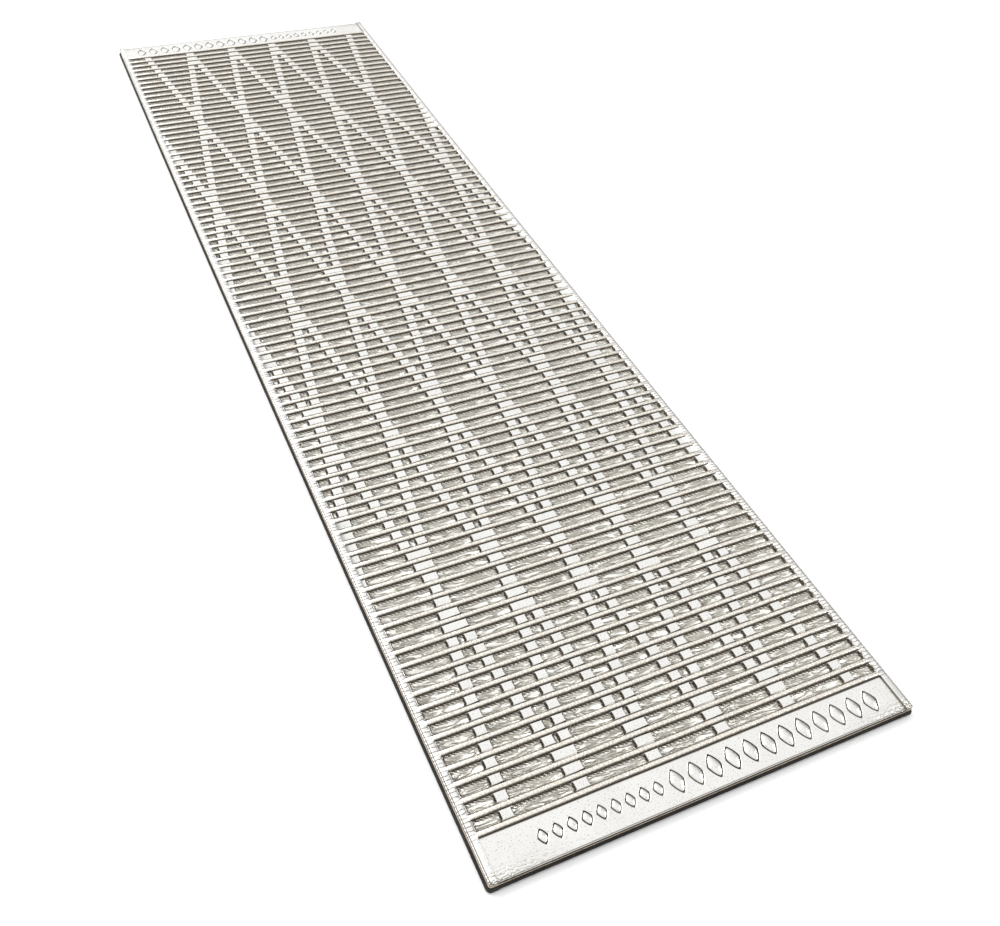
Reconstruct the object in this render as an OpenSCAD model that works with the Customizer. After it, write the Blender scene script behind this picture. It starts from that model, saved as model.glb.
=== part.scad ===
// Ridged closed-cell foam sleeping pad, laid out flat.
// X runs across the pad, Y along its length with the front end at -Y, Z up from the ground.
// Three bonded layers: a lower foam ply, an upper foam ply and a reflective film on top.

/* [Pad] */
// Width across the pad
pad_width = 508; // [480:1:640]
// Length from end to end
pad_length = 1829; // [1600:1:2000]
// Thickness over the ridges
pad_thickness = 15; // [15:0.5:20]
// Height of the glue line between the two plies
seam_height = 7.4; // [6:0.1:8]
// Chamfer at the four corners of the outline
corner_cut = 3; // [0.5:0.5:8]

/* [Ridges] */
// Number of cross ridges on the top
ridge_count = 94; // [80:2:100]
// Width of a ridge at its flat top
ridge_top = 4; // [2:0.25:6]
// Width of a ridge at its foot
ridge_foot = 6.8; // [6.25:0.05:8]
// Height of a ridge above the bridges
ridge_rise = 1.6; // [0.8:0.1:2]

/* [Pockets] */
// Depth of a pocket below the bridges
pocket_depth = 4.7; // [2:0.1:4.9]
// Width of the bridges between the pockets
bridge_width = 11.5; // [6:0.25:16]
// Bridges that stand closer than this run together
least_pocket = 6; // [4:0.5:12]
// Spacing across the pad of the diamonds that the bridges form
diamond_width = 84; // [60:1:120]
// Half the length of a diamond, counted in ridges
diamond_rows = 15.5; // [10.5:1:20.5]

/* [Borders] */
// Width of the plain strip along each side
strip_width = 10; // [6:0.5:20]
// How far the strips lie below the ridge tops
strip_drop = 0.6; // [0.2:0.1:1]
// Length of the plain apron at each end
apron_length = 50; // [30:1:90]
// How far the aprons lie below the ridge tops
apron_drop = 2.8; // [2.7:0.1:4]

/* [Underside] */
// Height of the cross ribs that the pad rests on
rib_height = 2.6; // [1:0.1:4]
// Width of a rib on the ground
rib_flat = 9.6; // [6:0.1:10]
// Width of a rib at its root
rib_root = 12.6; // [10.5:0.1:13.5]
// Clearance under the aprons
apron_lift = 2.8; // [1:0.1:4]
// Clearance under the side strips
strip_lift = 0.6; // [0.2:0.1:1]

/* [Film] */
// Thickness of the reflective film
film_thickness = 0.3; // [0.2:0.05:0.4]

/* [Hidden] */

edge_x = pad_width / 2;
edge_y = pad_length / 2;
inner_x = edge_x - strip_width;
rows = ridge_count - 1;
mid_row = (rows - 1) / 2;
pitch = (pad_length - 2 * apron_length) / rows;
bridge_z = pad_thickness - ridge_rise;
floor_z = bridge_z - pocket_depth;
strip_z = pad_thickness - strip_drop;
apron_z = pad_thickness - apron_drop;
last_diamond = ceil(inner_x / diamond_width);

function row_y(j) = (j - mid_row) * pitch;
function ridge_y(j) = (j - mid_row - 0.5) * pitch;

// Triangle wave: 0 at the middle of the pad, 1 half a diamond away, 0 a whole one away.
function wave(i) = let (u = abs(i) / diamond_rows) 1 - abs(1 - (u - 2 * floor(u / 2)));

// The bridges that cross channel i, left to right, between a stop at each side strip.
// The outermost pair is missing in the last half diamond at each end.
function bridges(i) = [
  -inner_x - bridge_width / 2,
  for (k = [-last_diamond : last_diamond], side = [-1, 1])
    if (abs(k) < last_diamond || (k * side < 0 && abs(i) < 2 * diamond_rows))
      diamond_width * (k + side * wave(i) / 2),
  inner_x + bridge_width / 2
];

// The top line along the pad, apron to apron over every ridge, lowered by d.
function top_line(d) = [
  [-edge_y, apron_z - d],
  for (j = [0 : rows]) each [
    [ridge_y(j) - ridge_foot / 2, (j == 0 ? apron_z : bridge_z) - d],
    [ridge_y(j) - ridge_top / 2, pad_thickness - d],
    [ridge_y(j) + ridge_top / 2, pad_thickness - d],
    [ridge_y(j) + ridge_foot / 2, (j == rows ? apron_z : bridge_z) - d]
  ],
  [edge_y, apron_z - d]
];

// The bottom line along the pad, apron to apron under every rib.
function bottom_line() = [
  [-edge_y, apron_lift],
  for (j = [0 : rows - 1]) each [
    [row_y(j) - rib_root / 2, j == 0 ? apron_lift : rib_height],
    [row_y(j) - rib_flat / 2, 0],
    [row_y(j) + rib_flat / 2, 0],
    [row_y(j) + rib_root / 2, j == rows - 1 ? apron_lift : rib_height]
  ],
  [edge_y, apron_lift]
];

function backwards(points) = [for (i = [len(points) - 1 : -1 : 0]) points[i]];

// A length-wise section in Y and Z, run across the pad between the side strips.
module across()
  translate([-inner_x, 0, 0]) rotate([90, 0, 90]) linear_extrude(2 * inner_x) children();

// A cross section of the right side strip in X and Z, run along both sides of the pad,
// with the corners of the outline cut off.
module along_sides()
  for (side = [0, 1]) mirror([side, 0, 0])
    difference() {
      translate([0, edge_y, 0]) rotate([90, 0, 0]) linear_extrude(2 * edge_y) children();
      for (end = [-1, 1])
        translate([edge_x, end * edge_y, pad_thickness / 2]) rotate([0, 0, 45])
          cube([corner_cut * sqrt(2), corner_cut * sqrt(2), 2 * pad_thickness], center = true);
    }

// Every pocket as a block that opens upwards.
module pockets()
  for (j = [0 : rows - 1]) {
    x = bridges(j - mid_row);
    near = ridge_y(j) + ridge_foot / 2;
    far = ridge_y(j + 1) - ridge_foot / 2;
    for (n = [0 : len(x) - 2]) {
      left = x[n] + bridge_width / 2;
      right = x[n + 1] - bridge_width / 2;
      if (right - left >= least_pocket)
        translate([left, near, floor_z]) cube([right - left, far - near, pad_thickness]);
    }
  }

module reflective_film() color("gainsboro") {
  t = film_thickness;
  difference() {
    across() polygon(concat(top_line(0), backwards(top_line(t))));
    pockets();
  }
  // over the strip and down its step
  along_sides()
    polygon([[inner_x, apron_z - t], [inner_x + t, apron_z - t], [inner_x + t, strip_z - t],
             [edge_x, strip_z - t], [edge_x, strip_z], [inner_x, strip_z]]);
}

module upper_foam_ply() color("tan") {
  t = film_thickness;
  difference() {
    across() polygon(concat([[edge_y, seam_height], [-edge_y, seam_height]], top_line(t)));
    pockets();
  }
  along_sides()
    polygon([[inner_x, seam_height], [edge_x, seam_height], [edge_x, strip_z - t],
             [inner_x + t, strip_z - t], [inner_x + t, apron_z - t], [inner_x, apron_z - t]]);
}

module lower_foam_ply() color("rosybrown") {
  across() polygon(concat([[edge_y, seam_height], [-edge_y, seam_height]], bottom_line()));
  along_sides()
    polygon([[inner_x, strip_lift], [edge_x, strip_lift],
             [edge_x, seam_height], [inner_x, seam_height]]);
}

reflective_film();
upper_foam_ply();
lower_foam_ply();
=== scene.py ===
"""Looks of a ridged closed-cell foam sleeping pad with a reflective film, laid out flat.

The pad's pieces are a thin film skin and two foam plies. Lengths below are in millimetres;
each mesh is scaled to metres as it is made.
"""

import math
import random

import bpy
from mathutils import Matrix, Vector, noise
from mathutils.geometry import delaunay_2d_cdt


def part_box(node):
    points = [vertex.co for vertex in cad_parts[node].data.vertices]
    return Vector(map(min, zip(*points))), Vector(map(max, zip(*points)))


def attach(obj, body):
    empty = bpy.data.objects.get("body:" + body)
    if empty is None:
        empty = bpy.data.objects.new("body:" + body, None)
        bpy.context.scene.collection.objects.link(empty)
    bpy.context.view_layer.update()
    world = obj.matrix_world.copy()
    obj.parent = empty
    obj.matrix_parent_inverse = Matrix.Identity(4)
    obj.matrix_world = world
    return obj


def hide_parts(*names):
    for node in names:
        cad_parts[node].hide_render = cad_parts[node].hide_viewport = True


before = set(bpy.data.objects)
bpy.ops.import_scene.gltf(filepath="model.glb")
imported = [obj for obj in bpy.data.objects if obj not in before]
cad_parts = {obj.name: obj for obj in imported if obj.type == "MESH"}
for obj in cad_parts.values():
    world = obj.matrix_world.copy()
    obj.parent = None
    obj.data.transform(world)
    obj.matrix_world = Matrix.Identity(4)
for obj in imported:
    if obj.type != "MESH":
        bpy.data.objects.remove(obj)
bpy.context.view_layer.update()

MM = 0.001

# ---- Sizes ------------------------------------------------------------------------------

# From the frame
EDGE_X, EDGE_Y, TOP_Z = (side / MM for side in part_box("reflective_film")[1])
SEAM_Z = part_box("upper_foam_ply")[0][2] / MM

# The same driving sizes as the CAD design
CORNER = 3
STRIP = 10
STRIP_Z = TOP_Z - 0.6
APRON = 50
APRON_Z = TOP_Z - 2.8
RIDGES = 94
BRIDGE_Z = TOP_Z - 1.6
POCKET_DEPTH = 4.7
BRIDGE = 11.5
LEAST_POCKET = 6
DIAMOND_WIDTH = 84
DIAMOND_ROWS = 15.5
RIB_HEIGHT = 2.6
APRON_LIFT = 2.8
STRIP_LIFT = 0.6

INNER_X = EDGE_X - STRIP
# A strip steps down to the ridged field between these
STEP_FOOT = INNER_X + 0.1
STEP_TOP = INNER_X + 0.9
ROWS = RIDGES - 1
PITCH = 2 * (EDGE_Y - APRON) / ROWS
RIDGE_FOOT = 3.4
CHANNEL = PITCH / 2 - RIDGE_FOOT

# Sections of the relief, as (distance from the centre line, height or share of the depth)
RIDGE_SECTION = [(-3, -1.35), (-2.2, -0.5), (-1.2, -0.1), (0, 0), (1.2, -0.15), (2.2, -0.6), (3, -1.4)]
WALL_SECTION = [(-CHANNEL, 0), (-4.6, 0.7), (-3.3, 0.95), (0, 1), (3.3, 0.95), (4.6, 0.7), (CHANNEL, 0)]
END_SECTION = [(0, 0), (1.0, 0.55), (2.3, 0.95)]
# The crease at a ridge's foot lies this far below the bridges, and is this wide on an apron
CREASE = 0.45
FOOT_EDGE = 1.6
# The radius of a pocket's corners in plan, and how far its floor and the bridges swell upwards
POCKET_ROUND = 3
CROWN = 0.12
# Spacing of the points along a ridge, along a pocket's floor, and along the rim and aprons
RIDGE_STEP = 30
FLOOR_STEP = 16
RIM_STEP = 9

# The hidden side of the film follows the top more simply, always this far inside it
SKIN = 0.35
SKIN_STEP = 4 * RIDGE_STEP
SKIN_RIDGE = [(-1.5, -0.5), (1.5, -0.5)]
SKIN_WALL = [(-CHANNEL - 0.3, 0), (-4.9, 1), (4.9, 1), (CHANNEL + 0.3, 0)]
SKIN_END = [(-SKIN, 0), (1.5, 1)]

# The top of the film starts this far inside the outline, with a bead that has a groove in it,
# as (distance from there, drop)
RIM = 0.5
BEAD_GROOVE = 1.5
BEAD = [(0, 0.4), (0.8, 0.1), (BEAD_GROOVE, 0.5), (2.3, 0.1), (3.4, 0)]

# Edges below the rim, as (inset from the outline, drop) for the film's lip, and for the foam
# as (inset, share of the way down). The lower ply bulges out.
FILM_LIP = [(0.12, 0.7), (0, 1.15), (0.12, 1.7), (0.45, 1.7)]
UPPER_EDGE = [(0.5, 0), (1.6, 0.1), (1.5, 0.26), (0.3, 0.38), (0, 0.6), (0.1, 0.78), (0.9, 0.9), (1.3, 1)]
LOWER_EDGE = [(1.3, 0), (0.4, 0.06), (-0.9, 0.2), (-1.9, 0.45), (-2.2, 0.7), (-1.6, 0.88), (-0.4, 0.97)]
EDGE_STEP = 5

# A rib underneath, as (distance from its centre line, height), and the plain ends past the ribs
# as distances in from the end of the underside
RIB_ROOT = 6.3
RIB_SECTION = [(-RIB_ROOT, RIB_HEIGHT), (-5.6, 2.1), (-4.9, 0.35), (-4.1, 0)]
RIB_SECTION += [(-y, z) for y, z in reversed(RIB_SECTION)]
RIB_STEP = 24
PLAIN_ENDS = (0, 0.5, 1.5, 4)
PLAIN_STEP = 40

# Rows of pressed diamonds on an apron, as (from x, to x, how many, half width, half length),
# and the rings of one, outermost first, as (growth, height above the apron)
DIAMONDS = [(-186, -56, 9, 5, 7.5), (-34, 214, 12, 7.5, 13)]
PRESSED = [(2.1, 0), (1.1, 0), (0.4, -0.8), (-0.3, -0.8), (-1.1, 0.15)]

# How far the pad lies off straight at its middle, and how much its surface wanders along the
# pad and up and down, over stretches of these sizes in X and Y
BOW = 3.5
SWAY = 0.45
SWAY_SIZE = (90, 45)
SWELL = 0.22
SWELL_SIZE = (38, 24)


# ---- Plan of the pad ----------------------------------------------------------------------


def ramp(value, low, high):
    """0 at low, 1 at high, and level beyond them."""
    return min(max((value - low) / (high - low), 0), 1)


def row_y(row):
    """The centre line of a channel."""
    return (row - (ROWS - 1) / 2) * PITCH


def ridge_y(ridge):
    """The centre line of a ridge."""
    return (ridge - ROWS / 2) * PITCH


def wave(row):
    """Triangle wave: 0 at the middle of the pad, 1 half a diamond away, 0 a whole one away."""
    turns = abs(row - (ROWS - 1) / 2) / DIAMOND_ROWS
    return 1 - abs(1 - turns % 2)


def pockets(row):
    """The pockets in a channel as (left, right), between the bridges."""
    last = math.ceil(INNER_X / DIAMOND_WIDTH)
    inside = abs(row - (ROWS - 1) / 2) < 2 * DIAMOND_ROWS
    half = BRIDGE / 2
    stops = [-INNER_X - half]
    for k in range(-last, last + 1):
        for side in (-1, 1):
            if abs(k) < last or (k * side < 0 and inside):
                stops.append(DIAMOND_WIDTH * (k + side * wave(row) / 2))
    stops.append(INNER_X + half)
    spans = [(a + half, b - half) for a, b in zip(stops, stops[1:])]
    return [(a, b) for a, b in spans if b - a >= LEAST_POCKET]


def half_width(y, inset):
    """Half the pad's width at y, for the outline pulled in by inset, with its round corners."""
    radius = CORNER - inset
    from_end = EDGE_Y - inset - abs(y)
    if from_end >= radius:
        return EDGE_X - inset
    short = max(radius - from_end, 0)
    return EDGE_X - CORNER + math.sqrt(max(radius**2 - short**2, 0))


def edge_height(x, y, strip_z, apron_z):
    """Height along the outline: the strips run on to the corners past each apron."""
    if abs(y) < EDGE_Y - CORNER:
        return strip_z
    return strip_z + (apron_z - strip_z) * ramp(abs(x), STEP_TOP, STEP_FOOT)


def sway(point):
    """The gentle unevenness of a pad that has been rolled up."""
    x, y, z = point
    bow = BOW * (1 - (y / EDGE_Y) ** 2)
    along = noise.noise(Vector((x / SWAY_SIZE[0], y / SWAY_SIZE[1], 3.1)))
    up = noise.noise(Vector((x / SWELL_SIZE[0], y / SWELL_SIZE[1], 8.7)))
    share = ramp(z, SEAM_Z, SEAM_Z + 4)
    return (x - bow, y + SWAY * along * share, z + SWELL * up * share)


def zone(point):
    """Which part of the top a point is on, as shares: side strip, pocket, ridge, and crease, where shade
    is painted.
    """
    x, y, z = point
    # Shade is painted into the groove of the bead
    in_groove = abs(half_width(y, RIM) - abs(x) - BEAD_GROOVE) < 0.05
    if in_groove or abs(EDGE_Y - RIM - abs(y) - BEAD_GROOVE) < 0.05:
        return (0, 0, 0, 0.8)
    # The strips' cross wrinkles fade out where the aprons begin
    field_y = EDGE_Y - APRON
    if abs(x) > (STEP_FOOT + STEP_TOP) / 2:
        return (ramp(abs(y), field_y + 14, field_y + 2), 0, 0, 0)
    # Shade is painted into an apron's crease at the foot of the end ridge and into the grooves of its
    # diamonds
    if abs(y) > field_y + RIDGE_FOOT - 0.1:
        at_foot = abs(y) < field_y + RIDGE_FOOT + 0.1
        return (0, 0, 0, 1 if at_foot or z < APRON_Z - 0.3 else 0)
    from_ridge = abs((y / PITCH + ROWS / 2 + 0.5) % 1 - 0.5) * PITCH
    pocket = ramp(z, BRIDGE_Z - CREASE, BRIDGE_Z - POCKET_DEPTH)
    ridge = 1 if from_ridge < RIDGE_FOOT - 0.1 else 0
    # Shade is painted along the crease at each ridge's foot
    crease_shade = 1 if abs(from_ridge - RIDGE_FOOT) < 0.1 else 0
    return (0, pocket, ridge, crease_shade)


def edge_zone(point):
    """The same four shares for the foam: painted shade in the crease where its edge lies back from the
    outline.
    """
    x, y, z = point
    inset = min(half_width(y, 0) - abs(x), EDGE_Y - abs(y))
    return (0, 0, 0, ramp(inset, 0.3, 0.9) if z > SEAM_Z - 0.1 else 0)


# ---- Mesh building ---------------------------------------------------------------------------


class Shell:
    """A closed surface, built from lines of points that are joined side by side."""

    def __init__(self, name):
        self.name = name
        self.points = []
        self.faces = []

    def line(self, points):
        """Adds the points and returns their indices."""
        start = len(self.points)
        self.points.extend(points)
        return list(range(start, len(self.points)))

    def face(self, corners, flip):
        """Adds a face of points in anticlockwise order, or in clockwise order to flip."""
        self.faces.append(corners[::-1] if flip else corners)

    def join(self, first, second, axis=0, flip=False):
        """Faces between two lines that run the same way along an axis."""
        if len(first) == len(second):
            for n in range(len(first) - 1):
                self.face([first[n], first[n + 1], second[n + 1], second[n]], flip)
            return
        way = 1 if self.points[first[-1]][axis] > self.points[first[0]][axis] else -1
        first_at = [way * self.points[index][axis] for index in first]
        second_at = [way * self.points[index][axis] for index in second]
        a = b = 0
        while a < len(first) - 1 or b < len(second) - 1:
            at_end = b == len(second) - 1
            if at_end or (a < len(first) - 1 and first_at[a + 1] <= second_at[b + 1]):
                self.face([first[a], first[a + 1], second[b]], flip)
                a += 1
            else:
                self.face([first[a], second[b + 1], second[b]], flip)
                b += 1

    def fill(self, members, loops=(), flip=False):
        """Triangles over a convex patch of the given points, seen from above."""
        where = {index: n for n, index in enumerate(members)}
        flat = [Vector(self.points[index][:2]) for index in members]
        edges = [(where[a], where[b]) for loop in loops for a, b in zip(loop, loop[1:])]
        made = delaunay_2d_cdt(flat, edges, [], 0, 1e-5)
        for triangle in made[2]:
            self.face([members[made[3][corner][0]] for corner in triangle], flip)

    def band(self, upper, lower, flip=False):
        """The wall between two loops around the pad, each as its four sides."""
        for axis, above, below in zip((0, 1, 0, 1), upper, lower):
            self.join(below, above, axis, flip)

    def loop(self, inset, height, step):
        """A loop around the outline, as four sides that share their corners."""
        reach_x, reach_y = EDGE_X - CORNER, EDGE_Y - CORNER
        radius = CORNER - inset
        front = spaced(-reach_x, reach_x, step, (-STEP_TOP, -STEP_FOOT, STEP_FOOT, STEP_TOP))
        turn = [math.radians(angle) for angle in (22.5, 45, 67.5, 90)]
        arc = [(math.sin(a) * radius, reach_y + math.cos(a) * radius) for a in turn]
        side = [(reach_x + dx, -y) for dx, y in arc]
        side += [(EDGE_X - inset, y) for y in spaced(-reach_y, reach_y, step)[1:-1]]
        side += [(reach_x + dx, y) for dx, y in reversed(arc)]
        depth = EDGE_Y - inset
        plan = [
            [(x, -depth) for x in front],
            [(reach_x, -depth), *side, (reach_x, depth)],
            [(-x, depth) for x in front],
            [(-reach_x, depth), *((-x, -y) for x, y in side), (-reach_x, -depth)],
        ]
        sides = [self.line([(x, y, height(x, y)) for x, y in stretch[:-1]]) for stretch in plan]
        return [stretch + [sides[(n + 1) % 4][0]] for n, stretch in enumerate(sides)]

    def build(self, material, shares=zone):
        """The finished piece, with its shares as a colour attribute for its material."""
        mesh = bpy.data.meshes.new(self.name)
        points = [tuple(c * MM for c in sway(point)) for point in self.points]
        mesh.from_pydata(points, [], self.faces)
        mesh.validate()
        mesh.materials.append(material)
        mesh.polygons.foreach_set("use_smooth", [True] * len(mesh.polygons))
        zones = mesh.attributes.new("zone", "FLOAT_COLOR", "POINT")
        zones.data.foreach_set("color", [value for point in self.points for value in shares(point)])
        mesh.set_sharp_from_angle(angle=math.radians(60))
        mesh.update()
        piece = bpy.data.objects.new(self.name, mesh)
        bpy.context.collection.objects.link(piece)
        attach(piece, "root")
        return piece


def spaced(low, high, step, also=()):
    """Evenly spaced values from low to high, with some values of their own among them."""
    count = max(round((high - low) / step), 1)
    values = [low + (high - low) * n / count for n in range(count + 1)]
    values = [v for v in values if all(abs(v - own) > 0.3 for own in also)]
    return sorted([*values, *also])


def patch_loop(lines):
    """The four sides of a patch of lines, in the order that Shell.loop gives them."""
    right = [line[-1] for line in lines]
    left = [line[0] for line in lines]
    return [lines[0], right, lines[-1][::-1], left[::-1]]


# ---- The relief on the top ----------------------------------------------------------------------


def with_strips(y, inset, inner, strip_z):
    """A line across the pad: both side strips, and what lies between them."""
    out = half_width(y, inset)
    strip = [(out - back, strip_z - down) for back, down in BEAD[:4]]
    strip.append((STEP_TOP, strip_z))
    left = [(-x, y, z) for x, z in strip]
    right = [(x, y, z) for x, z in reversed(strip)]
    return [*left, *((x, y, z) for x, z in inner), *right]


def flat_line(y, inset, z, step, strip_z):
    """A line across the pad that is level between the strips."""
    inner = [(x, z) for x in spaced(-STEP_FOOT, STEP_FOOT, step)]
    return with_strips(y, inset, inner, strip_z)


def channel_line(y, spans, offset, depth, ends, inset, drop, floor_step):
    """A line along a channel: level over the bridges, and down into each pocket.

    Each span is a pocket's (left, right, rise of its floor). The line lies at an offset from
    the channel's centre, where a pocket has this share of its depth.
    """
    rim = BRIDGE_Z - drop - (CREASE if depth == 0 else 0)
    round_off = max(abs(offset) - (CHANNEL - POCKET_ROUND), 0)
    shift = POCKET_ROUND - math.sqrt(max(POCKET_ROUND**2 - round_off**2, 0)) if floor_step else 0
    crown = CROWN * (1 - (offset / CHANNEL) ** 2) if floor_step else 0
    inner = [(-STEP_FOOT, rim)]
    for left, right, rise in spans:
        # In a short pocket the round corners and the end walls are squeezed, so some floor is left
        tuck = min(shift, (right - left) / 2 - 0.8)
        room = (right - left) / 2 - tuck
        squeeze = min(1, (room - 0.3) / ends[-1][0])
        down = (POCKET_DEPTH - rise) * depth
        near = [(left + tuck + run * squeeze, rim + crown - down * share) for run, share in ends]
        far = [(left + right - x, z) for x, z in reversed(near)]
        if near[0][0] <= inner[-1][0]:
            near[0] = (inner[-1][0] + 0.15, near[0][1])
        bottom = []
        if floor_step and right - left > 12:
            middle = spaced(near[-1][0], far[0][0], floor_step)[1:-1]
            bottom = [(x, rim + crown - down) for x in middle]
        inner += [*near, *bottom, *far]
    if inner[-1][0] >= STEP_FOOT:
        inner[-1] = (STEP_FOOT - 0.15, inner[-1][1])
    inner.append((STEP_FOOT, rim))
    return with_strips(y, inset, inner, STRIP_Z - drop)


def relief(shell, fine, inset, drop, flip):
    """The ridged field as joined lines, from the first ridge to the last.

    The fine one is the film's top, where no two pockets are quite alike. The other is the face
    beneath the film.
    """
    chance = random.Random(4)
    ridge, wall = (RIDGE_SECTION, WALL_SECTION) if fine else (SKIN_RIDGE, SKIN_WALL)
    ends = END_SECTION if fine else SKIN_END
    step = RIDGE_STEP if fine else SKIN_STEP
    floor_step = FLOOR_STEP if fine else 0
    lines = []
    for j in range(RIDGES):
        for offset, height in ridge:
            points = flat_line(ridge_y(j) + offset, inset, TOP_Z + height, step, STRIP_Z - drop)
            lines.append(shell.line(points))
        if j == RIDGES - 1:
            break
        spans = []
        for left, right in pockets(j):
            from_left, from_right = chance.uniform(0, 0.6), chance.uniform(0, 0.6)
            rise = chance.uniform(-0.15, 0.25)
            spans.append((left + from_left, right - from_right, rise) if fine else (left, right, 0))
        for offset, depth in wall:
            points = channel_line(row_y(j) + offset, spans, offset, depth, ends, inset, drop, floor_step)
            lines.append(shell.line(points))
    for first, second in zip(lines, lines[1:]):
        shell.join(first, second, flip=flip)
    return lines


# ---- Aprons ---------------------------------------------------------------------------------------


def lozenge(centre, half_x, half_y):
    """A plain rounded diamond as a closed loop of (x, y)."""
    loop = []
    for n in range(20):
        turn = 2 * math.pi * n / 20
        c, s = math.cos(turn), math.sin(turn)
        x = math.copysign(abs(c) ** 1.5, c) * half_x
        y = math.copysign(abs(s) ** 1.5, s) * half_y
        loop.append((centre[0] + x, centre[1] + y))
    return loop


def lozenge_rows(end):
    """The pressed diamonds on an apron: a row of small ones, then a row of large ones."""
    y = end * (EDGE_Y - APRON / 2)
    found = []
    for low, high, count, half_x, half_y in DIAMONDS:
        for n in range(count):
            x = low + (high - low) * n / (count - 1)
            found.append(((-end * x, y), half_x, half_y))
    return found


def apron(shell, near, far, end):
    """The plain sheet between two lines, with its pressed diamonds. Returns its side ends."""
    low, high = (shell.points[line[0]][1] for line in (near, far))
    edge = [(-STEP_FOOT, APRON_Z), (STEP_FOOT, APRON_Z)]
    rows = [shell.line(with_strips(y, RIM, edge, STRIP_Z)) for y in spaced(low, high, 8)[1:-1]]
    members = [*near, *far, *(index for row in rows for index in row)]
    creases = [[line[place] for line in (near, *rows, far)] for place in (2, 3, -4, -3)]
    for centre, half_x, half_y in lozenge_rows(end):
        for grow, height in PRESSED:
            plan = lozenge(centre, half_x + grow, half_y + grow * 1.3)
            ring = shell.line([(x, y, APRON_Z + height) for x, y in plan])
            creases.append(ring + ring[:1])
            members += ring
        members += shell.line([(*centre, APRON_Z + PRESSED[-1][1] + 0.15)])
    for x in spaced(-INNER_X + 6, INNER_X - 6, 9):
        members += shell.line([(x, y, APRON_Z) for y in (low + 5, high - 5)])
    shell.fill(members, creases)
    return [[row[0], row[-1]] for row in rows]


# ---- The pieces ---------------------------------------------------------------------------------


def end_lines(shell, end, inset, drop, step, flip=False):
    """The lines that round off one end of the sheet, from the apron outwards."""
    lines = []
    for back, down in reversed(BEAD):
        y = end * (EDGE_Y - inset - back)
        points = flat_line(y, inset, APRON_Z - down - drop, step, STRIP_Z - down - drop)
        lines.append(shell.line(points))
    if end < 0:
        lines.reverse()
    for first, second in zip(lines, lines[1:]):
        shell.join(first, second, flip=flip)
    return lines


def foot_line(shell, end, inset, drop, step, out=0):
    """The line where an end ridge meets its apron, or one a little way out on the apron."""
    y = end * (ridge_y(RIDGES - 1) + RIDGE_FOOT + drop + out)
    return shell.line(flat_line(y, inset, APRON_Z - drop, step, STRIP_Z - drop))


def film_top(shell):
    """The whole top of the film. Returns the loop around it."""
    front = end_lines(shell, -1, RIM, 0, RIM_STEP)
    toe, foot = (foot_line(shell, -1, RIM, 0, RIDGE_STEP, out) for out in (FOOT_EDGE, 0))
    sides = apron(shell, front[-1], toe, -1)
    field = relief(shell, True, RIM, 0, False)
    heel, far_toe = (foot_line(shell, 1, RIM, 0, RIDGE_STEP, out) for out in (0, FOOT_EDGE))
    for first, second in ((toe, foot), (foot, field[0]), (field[-1], heel), (heel, far_toe)):
        shell.join(first, second)
    back = end_lines(shell, 1, RIM, 0, RIM_STEP)
    far_sides = apron(shell, far_toe, back[0], 1)
    return patch_loop([*front, *sides, toe, foot, *field, heel, far_toe, *far_sides, *back])


def skin(shell, flip):
    """The face where the film meets the foam. Returns the loop around it."""
    inset = RIM + SKIN
    front = end_lines(shell, -1, inset, SKIN, SKIN_STEP, flip)
    foot = foot_line(shell, -1, inset, SKIN, SKIN_STEP)
    field = relief(shell, False, inset, SKIN, flip)
    heel = foot_line(shell, 1, inset, SKIN, SKIN_STEP)
    back = end_lines(shell, 1, inset, SKIN, SKIN_STEP, flip)
    for first, second in ((front[-1], foot), (foot, field[0]), (field[-1], heel), (heel, back[0])):
        shell.join(first, second, flip=flip)
    return patch_loop([*front, foot, *field, heel, *back])


def under_rim(drop):
    """The height around the outline, this far below the top."""
    return lambda x, y: edge_height(x, y, STRIP_Z, APRON_Z) - drop


def film():
    """The metallised film: a thin skin over the relief that turns down around the edge."""
    shell = Shell("reflective_film_skin")
    loops = [film_top(shell)]
    loops += [shell.loop(inset, under_rim(drop), RIM_STEP) for inset, drop in FILM_LIP]
    loops.append(skin(shell, True))
    for upper, lower in zip(loops, loops[1:]):
        shell.band(upper, lower)
    return shell.build(film_material())


def seam(x, y):
    """The height of the glue line between the plies."""
    return SEAM_Z


def lower_rim(x, y):
    """The height around the underside."""
    return edge_height(x, y, STRIP_LIFT, APRON_LIFT)


def between(top, bottom, share):
    """A height that lies a share of the way down."""
    return lambda x, y: top(x, y) * (1 - share) + bottom(x, y) * share


def ply_wall(shell, section, top, bottom):
    """Loops down the foam's edge. Each section point is (inset, share of the way down)."""
    return [shell.loop(inset, between(top, bottom, share), EDGE_STEP) for inset, share in section]


def once_round(loop):
    """A loop's points, with no corner twice."""
    return [index for side in loop for index in side[:-1]]


def upper_ply():
    """The foam under the film, with its soft cut edge above the seam."""
    shell = Shell("upper_foam_ply_body")
    loops = [skin(shell, False), *ply_wall(shell, UPPER_EDGE, under_rim(FILM_LIP[-1][1]), seam)]
    for upper, lower in zip(loops, loops[1:]):
        shell.band(upper, lower)
    shell.fill(once_round(loops[-1]), flip=True)
    return shell.build(foam_material("tan_foam", TAN), edge_zone)


def under_line(y, inset, z, step):
    """A line across the underside: the ribs stop at the side strips."""
    out = half_width(y, inset)
    strip = [(out, STRIP_LIFT), (EDGE_X - 6, STRIP_LIFT), (INNER_X + 1, STRIP_LIFT)]
    inner = [(x, y, z) for x in spaced(-INNER_X - 0.2, INNER_X + 0.2, step)]
    left = [(-x, y, h) for x, h in strip]
    return [*left, *inner, *((x, y, h) for x, h in reversed(strip))]


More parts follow.
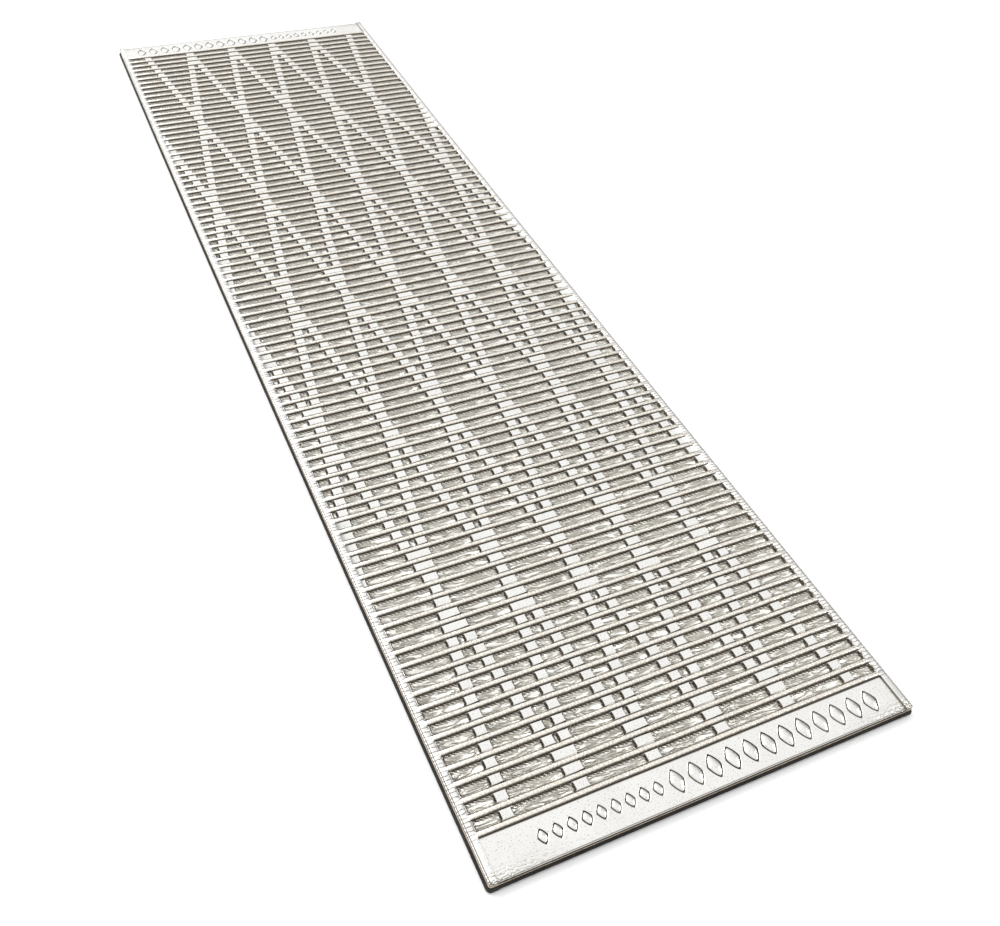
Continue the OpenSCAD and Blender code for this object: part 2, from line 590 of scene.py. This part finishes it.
def underside(shell, inset):
    """The ribs that the pad rests on, end to end. Returns the loop around them."""
    ends = [inset - EDGE_Y + back for back in PLAIN_ENDS]
    ends.append(row_y(0) - RIB_ROOT - 1)
    lines = [shell.line(under_line(y, inset, APRON_LIFT, PLAIN_STEP)) for y in ends]
    for row in range(ROWS):
        for offset, z in RIB_SECTION:
            lines.append(shell.line(under_line(row_y(row) + offset, inset, z, RIB_STEP)))
    lines += [shell.line(under_line(-y, inset, APRON_LIFT, PLAIN_STEP)) for y in reversed(ends)]
    for first, second in zip(lines, lines[1:]):
        shell.join(first, second, flip=True)
    return patch_loop(lines)


def lower_ply():
    """The foam below the seam, with the ribs that rest on the ground."""
    shell = Shell("lower_foam_ply_body")
    loops = ply_wall(shell, LOWER_EDGE, seam, lower_rim)
    shell.fill(once_round(loops[0]))
    loops.append(underside(shell, LOWER_EDGE[-1][0] + 1))
    for upper, lower in zip(loops, loops[1:]):
        shell.band(upper, lower)
    # The lower ply is coloured near-black as painted shadow, the dark band under the pad's edge
    return shell.build(foam_material("painted_shadow_foam", PAINTED_SHADOW_FOAM), edge_zone)


# ---- Materials -----------------------------------------------------------------------------------

# Pairs of tones that a pattern blends, on each part of the film; the dark tone of the strip, floor and
# wall pairs is painted shade in the lines of the crinkles
TAUT_FILM = ((0.60, 0.595, 0.57, 1), (0.70, 0.695, 0.68, 1))
STRIP_FILM = ((0.70, 0.695, 0.68, 1), (0.22, 0.20, 0.17, 1))
FLOOR_FILM = ((0.80, 0.785, 0.735, 1), (0.31, 0.29, 0.24, 1))
WALL_FILM = ((0.22, 0.20, 0.16, 1), (0.82, 0.80, 0.76, 1))
RIDGE_FILM = ((0.62, 0.58, 0.51, 1), (0.74, 0.71, 0.66, 1))

# Single tones of the film: for small specks, and as painted shade for the puckers near the ends; painted
# shade on a ridge's steep flanks; painted shade in creases and on the pockets' end walls
SPECK = (0.32, 0.30, 0.26, 1)
FLANK_SHADE = (0.24, 0.21, 0.165, 1)
CREASE_SHADE_FILM = (0.07, 0.055, 0.04, 1)

# Pairs of tones of the two foams: the upper ply's tan, and a near-black for the lower ply that is painted
# shadow under the pad's edge; and both foams' painted shade in a crease
TAN = ((0.34, 0.28, 0.21, 1), (0.62, 0.55, 0.46, 1))
PAINTED_SHADOW_FOAM = ((0.010, 0.009, 0.008, 1), (0.035, 0.031, 0.027, 1))
CREASE_SHADE_FOAM = (0.02, 0.015, 0.01, 1)


class Graph:
    """A material's nodes, added one call at a time. Places are in millimetres."""

    def __init__(self, name):
        self.material = bpy.data.materials.new(name)
        self.material.use_nodes = True
        self.tree = self.material.node_tree
        self.shader = self.tree.nodes["Principled BSDF"]
        metres = self.add("ShaderNodeTexCoord").outputs["Object"]
        scale = {0: metres, "Scale": 1 / MM}
        self.place = self.add("ShaderNodeVectorMath", scale, operation="SCALE").outputs[0]

    def add(self, kind, inputs=None, **settings):
        """Adds a node. Each input is a socket to link or a value to set."""
        made = self.tree.nodes.new(kind)
        for name, value in settings.items():
            setattr(made, name, value)
        for name, value in (inputs or {}).items():
            if isinstance(value, bpy.types.NodeSocket):
                self.tree.links.new(value, made.inputs[name])
            else:
                made.inputs[name].default_value = value
        return made

    def split(self, vector):
        """The X, Y and Z of a vector."""
        return self.add("ShaderNodeSeparateXYZ", {0: vector}).outputs

    def math(self, operation, a, b=0.0, c=0.0, clamp=False):
        inputs = {0: a, 1: b, 2: c}
        return self.add("ShaderNodeMath", inputs, operation=operation, use_clamp=clamp).outputs[0]

    def times(self, a, b):
        return self.math("MULTIPLY", a, b)

    def noise(self, size, detail=2, stretch=(1, 1, 1), warp=0.0):
        """Noise whose features are about size millimetres across, or longer along an axis."""
        where = self.add("ShaderNodeVectorMath", {0: self.place, 1: stretch}, operation="MULTIPLY")
        inputs = {"Vector": where.outputs[0], "Scale": 1 / size, "Detail": detail, "Distortion": warp}
        return self.add("ShaderNodeTexNoise", inputs).outputs[0]

    def creases(self, size, detail, stretch, warp):
        """Thin lines at 1 on a ground of 0, where a noise passes its middle."""
        swing = self.math("MULTIPLY_ADD", self.noise(size, detail, stretch, warp), 9, -4.5)
        return self.math("SUBTRACT", 1, self.math("ABSOLUTE", swing), clamp=True)

    def wrinkles(self, axis, period, unevenness):
        """Wrinkles that follow one another along an axis, a period in millimetres apart."""
        inputs = {
            "Vector": self.place,
            "Scale": math.pi / (10 * period),
            "Distortion": unevenness,
            "Detail": 2,
            "Detail Scale": 2.5,
        }
        return self.add("ShaderNodeTexWave", inputs, bands_direction=axis).outputs["Fac"]

    def blend(self, share, first, second):
        """The first colour where the share is 0, the second where it is 1."""
        made = self.add("ShaderNodeMix", data_type="RGBA")
        for name, value in {"Factor": share, "A": first, "B": second}.items():
            sockets = [socket for socket in made.inputs if socket.name == name and socket.enabled]
            if isinstance(value, bpy.types.NodeSocket):
                self.tree.links.new(value, sockets[0])
            else:
                sockets[0].default_value = value
        return next(socket for socket in made.outputs if socket.enabled)

    def ramp(self, value, low, high, out_low=0.0, out_high=1.0):
        """From out_low at low to out_high at high, and level beyond them."""
        inputs = {"Value": value, "From Min": low, "From Max": high}
        inputs |= {"To Min": out_low, "To Max": out_high}
        return self.add("ShaderNodeMapRange", inputs).outputs[0]

    def feed(self, name, socket):
        """Links a socket to one of the shader's inputs."""
        self.tree.links.new(socket, self.shader.inputs[name])

    def relief(self, height):
        """A bump whose height is in millimetres."""
        bump = self.add("ShaderNodeBump", {"Height": height, "Strength": 1.0, "Distance": MM})
        self.feed("Normal", bump.outputs[0])


def film_parts(graph):
    """Where each part of the film is, as shares."""
    zones = graph.add("ShaderNodeAttribute", attribute_name="zone").outputs
    strip, pocket, ridge = graph.add("ShaderNodeSeparateColor", {0: zones["Color"]}).outputs
    facing = graph.split(graph.add("ShaderNodeNewGeometry").outputs["Normal"])
    from_centre, from_middle = (graph.math("ABSOLUTE", axis) for axis in graph.split(graph.place)[:2])
    upright = facing[2]
    field_y = EDGE_Y - APRON
    end_wall_shade = graph.ramp(graph.math("ABSOLUTE", facing[0]), 0.3, 0.75)
    near_end = graph.ramp(from_middle, EDGE_Y - 18, EDGE_Y - 5)
    return {
        "strip": strip,
        "pocket": pocket,
        "ridge": ridge,
        # Painted shade in the creases
        "crease_shade": graph.ramp(zones["Alpha"], 0, 0.75),
        "wall": graph.times(graph.ramp(upright, 0.95, 0.7), graph.ramp(pocket, 0, 0.2)),
        # Painted shade on steep faces outside the pockets, such as a ridge's flanks, found from how
        # upright the surface faces
        "flank_shade": graph.times(graph.ramp(upright, 0.96, 0.6), graph.ramp(pocket, 0, 0.3, 0.85, 0)),
        # Painted shade on the pockets' end walls, which face the sides; weaker on the aprons
        "end_wall_shade": graph.times(end_wall_shade, graph.ramp(from_middle, field_y, field_y + 8, 1, 0.3)),
        "corner": graph.times(near_end, graph.ramp(from_centre, 160, 240)),
    }


def film_folds(graph):
    """The patterns that the film is crinkled in."""
    return {
        "streaks": graph.creases(7, 3, (0.3, 1, 1), 0.6),
        "hatch": graph.wrinkles("DIAGONAL", 2.4, 4),
        "rope": graph.wrinkles("X", 5, 8),
        "cross": graph.ramp(graph.wrinkles("Y", 4.8, 3), 0.14, 0.0),
        "pucker": graph.wrinkles("Y", 3.6, 7),
        "grain": graph.noise(2.2, 3),
    }


def film_height(graph, part, fold):
    """Each pattern as deep in millimetres as it is on its own part of the film."""
    height = graph.times(fold["grain"], 0.25)
    for name, where, depth in (
        ("streaks", "pocket", 0.8),
        ("hatch", "wall", 0.6),
        ("rope", "ridge", 0.2),
        ("cross", "strip", -0.25),
        ("pucker", "corner", 0.35),
    ):
        height = graph.math("ADD", height, graph.times(graph.times(part[where], depth), fold[name]))
    return height


def film_tone(graph, part, fold):
    """Bright where the film is taut and streaked in the pockets; painted shade darkens the lines of its
    crinkles, a ridge's steep flanks, the pockets' end walls and its creases.
    """
    tone = graph.blend(graph.noise(60, 3), *TAUT_FILM)
    # The dark lines of the strip's wrinkles, the pockets' streaks and the walls' hatch are painted shade
    tone = graph.blend(part["strip"], tone, graph.blend(fold["cross"], *STRIP_FILM))
    tone = graph.blend(part["pocket"], tone, graph.blend(fold["streaks"], *FLOOR_FILM))
    tone = graph.blend(graph.times(part["wall"], 0.8), tone, graph.blend(fold["hatch"], *WALL_FILM))
    tone = graph.blend(part["ridge"], tone, graph.blend(fold["rope"], *RIDGE_FILM))
    # The specks are the film's own random marks; the pucker lines near the ends are painted shade
    specks = graph.ramp(graph.noise(1.7, 1), 0.38, 0.32, 0, 0.5)
    lines = graph.times(graph.ramp(fold["pucker"], 0.3, 0.1), part["corner"])
    tone = graph.blend(graph.math("MAXIMUM", specks, lines), tone, SPECK)
    # Painted shade on the steep flanks
    tone = graph.blend(part["flank_shade"], tone, FLANK_SHADE)
    # Painted shade in the creases and on the pockets' end walls
    dark = graph.times(graph.math("MAXIMUM", part["crease_shade"], part["end_wall_shade"]), 0.97)
    return graph.blend(dark, tone, CREASE_SHADE_FILM)


def film_material():
    """Metallised plastic film: taut and bright over the bridges, crinkled in the pockets."""
    graph = Graph("metallised_film")
    part = film_parts(graph)
    fold = film_folds(graph)
    graph.relief(film_height(graph, part, fold))
    graph.feed("Base Color", film_tone(graph, part, fold))
    graph.feed("Roughness", graph.ramp(graph.math("ADD", part["pocket"], fold["grain"]), 0, 2, 0.2, 0.4))
    graph.shader.inputs["Metallic"].default_value = 0.95
    return graph.material


def foam_material(name, tones):
    """Closed-cell foam: matt, finely pitted, in two tones, with painted shade in its creases."""
    graph = Graph(name)
    cells = graph.add("ShaderNodeTexVoronoi", {"Vector": graph.place, "Scale": 1.1}).outputs["Distance"]
    patches = graph.noise(14, 3)
    grain = graph.noise(1.6, 3)
    tone = graph.math("ADD", graph.times(patches, 0.5), graph.times(grain, 0.5))
    tone = graph.blend(graph.ramp(tone, 0.35, 0.65), *tones)
    # Painted shade where the edge lies back
    crease_shade = graph.add("ShaderNodeAttribute", attribute_name="zone").outputs["Alpha"]
    graph.feed("Base Color", graph.blend(crease_shade, tone, CREASE_SHADE_FOAM))
    graph.relief(graph.math("ADD", graph.times(cells, 0.2), graph.times(grain, 0.3)))
    graph.shader.inputs["Roughness"].default_value = 0.85
    graph.shader.inputs["Specular IOR Level"].default_value = 0.3
    return graph.material


# ---- Studio ----------------------------------------------------------------------------------------

FLOOR_REACH = 30

# The sky's brightest direction, and how its strength fades with the cosine of the angle from it
SKY = (-0.15, 0.45, 0.88)
SKY_FADE = {"From Min": -0.15, "From Max": 0.80, "To Min": 0.28, "To Max": 1.40}

# Soft suns, as (name, strength, width in degrees, direction they stand in)
SUNS = [("back_light", 1.4, 40, (-0.35, 0.7, 0.65)), ("right_light", 0.8, 15, (0.95, -0.1, 0.5))]

# The camera's lens and shift, where it stands in metres from the top of the front left corner,
# and the directions of its view and of its top
LENS = 37.463
SHIFT = (0.0005, -0.0015)
STAND = (-0.21856, -0.33536, 0.95929)
FORWARD = (0.33749, 0.61790, -0.71015)
UP = (0.24884, 0.66901, 0.70036)


def floor():
    """A plain pale floor, far wider than the view."""
    mesh = bpy.data.meshes.new("studio_floor")
    reach = FLOOR_REACH
    corners = [(-reach, -reach, 0), (reach, -reach, 0), (reach, reach, 0), (-reach, reach, 0)]
    mesh.from_pydata(corners, [], [(0, 1, 2, 3)])
    material = bpy.data.materials.new("studio_floor")
    material.use_nodes = True
    shader = material.node_tree.nodes["Principled BSDF"]
    shader.inputs["Base Color"].default_value = (0.9, 0.9, 0.9, 1)
    shader.inputs["Roughness"].default_value = 0.9
    mesh.materials.append(material)
    plane = bpy.data.objects.new("studio_floor", mesh)
    bpy.context.collection.objects.link(plane)


def sun(name, strength, width, direction):
    light = bpy.data.lights.new(name, "SUN")
    light.energy = strength
    light.angle = math.radians(width)
    lamp = bpy.data.objects.new(name, light)
    lamp.rotation_euler = Vector(direction).to_track_quat("Z", "Y").to_euler()
    bpy.context.collection.objects.link(lamp)


def sky():
    """A soft white sky, bright over the back of the pad and dim in front of it."""
    world = bpy.data.worlds.new("studio")
    bpy.context.scene.world = world
    world.use_nodes = True
    graph = world.node_tree
    way = graph.nodes.new("ShaderNodeTexCoord").outputs["Generated"]
    towards = graph.nodes.new("ShaderNodeVectorMath")
    towards.operation = "DOT_PRODUCT"
    towards.inputs[1].default_value = Vector(SKY).normalized()
    graph.links.new(way, towards.inputs[0])
    fade = graph.nodes.new("ShaderNodeMapRange")
    fade.interpolation_type = "SMOOTHSTEP"
    for name, value in SKY_FADE.items():
        fade.inputs[name].default_value = value
    graph.links.new(towards.outputs["Value"], fade.inputs["Value"])
    # Beyond the floor's edge the backdrop itself is plain white
    seen = graph.nodes.new("ShaderNodeLightPath").outputs["Is Camera Ray"]
    strength = graph.nodes.new("ShaderNodeMath")
    strength.operation = "MAXIMUM"
    graph.links.new(fade.outputs[0], strength.inputs[0])
    graph.links.new(seen, strength.inputs[1])
    background = graph.nodes["Background"]
    background.inputs["Color"].default_value = (1, 1, 1, 1)
    graph.links.new(strength.outputs[0], background.inputs["Strength"])


def studio():
    """The floor, the sky and two suns, with white as plain white."""
    sky()
    for settings in SUNS:
        sun(*settings)
    floor()
    bpy.context.scene.view_settings.view_transform = "Standard"


def camera():
    """Seen from the front left, standing over the front end."""
    data = bpy.data.cameras.new("camera")
    data.sensor_width = 36
    data.lens = LENS
    data.shift_x, data.shift_y = SHIFT
    data.clip_end = 100
    lens = bpy.data.objects.new("camera", data)
    forward = Vector(FORWARD)
    up = Vector(UP)
    turn = Matrix((forward.cross(up), up, -forward)).transposed()
    place = Vector((-EDGE_X, -EDGE_Y, STRIP_Z)) * MM + Vector(STAND)
    lens.matrix_world = Matrix.Translation(place) @ turn.to_4x4()
    bpy.context.collection.objects.link(lens)
    bpy.context.scene.camera = lens


camera()
studio()

film_skin = film()
upper_body = upper_ply()
lower_body = lower_ply()
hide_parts("reflective_film")
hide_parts("upper_foam_ply")
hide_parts("lower_foam_ply")
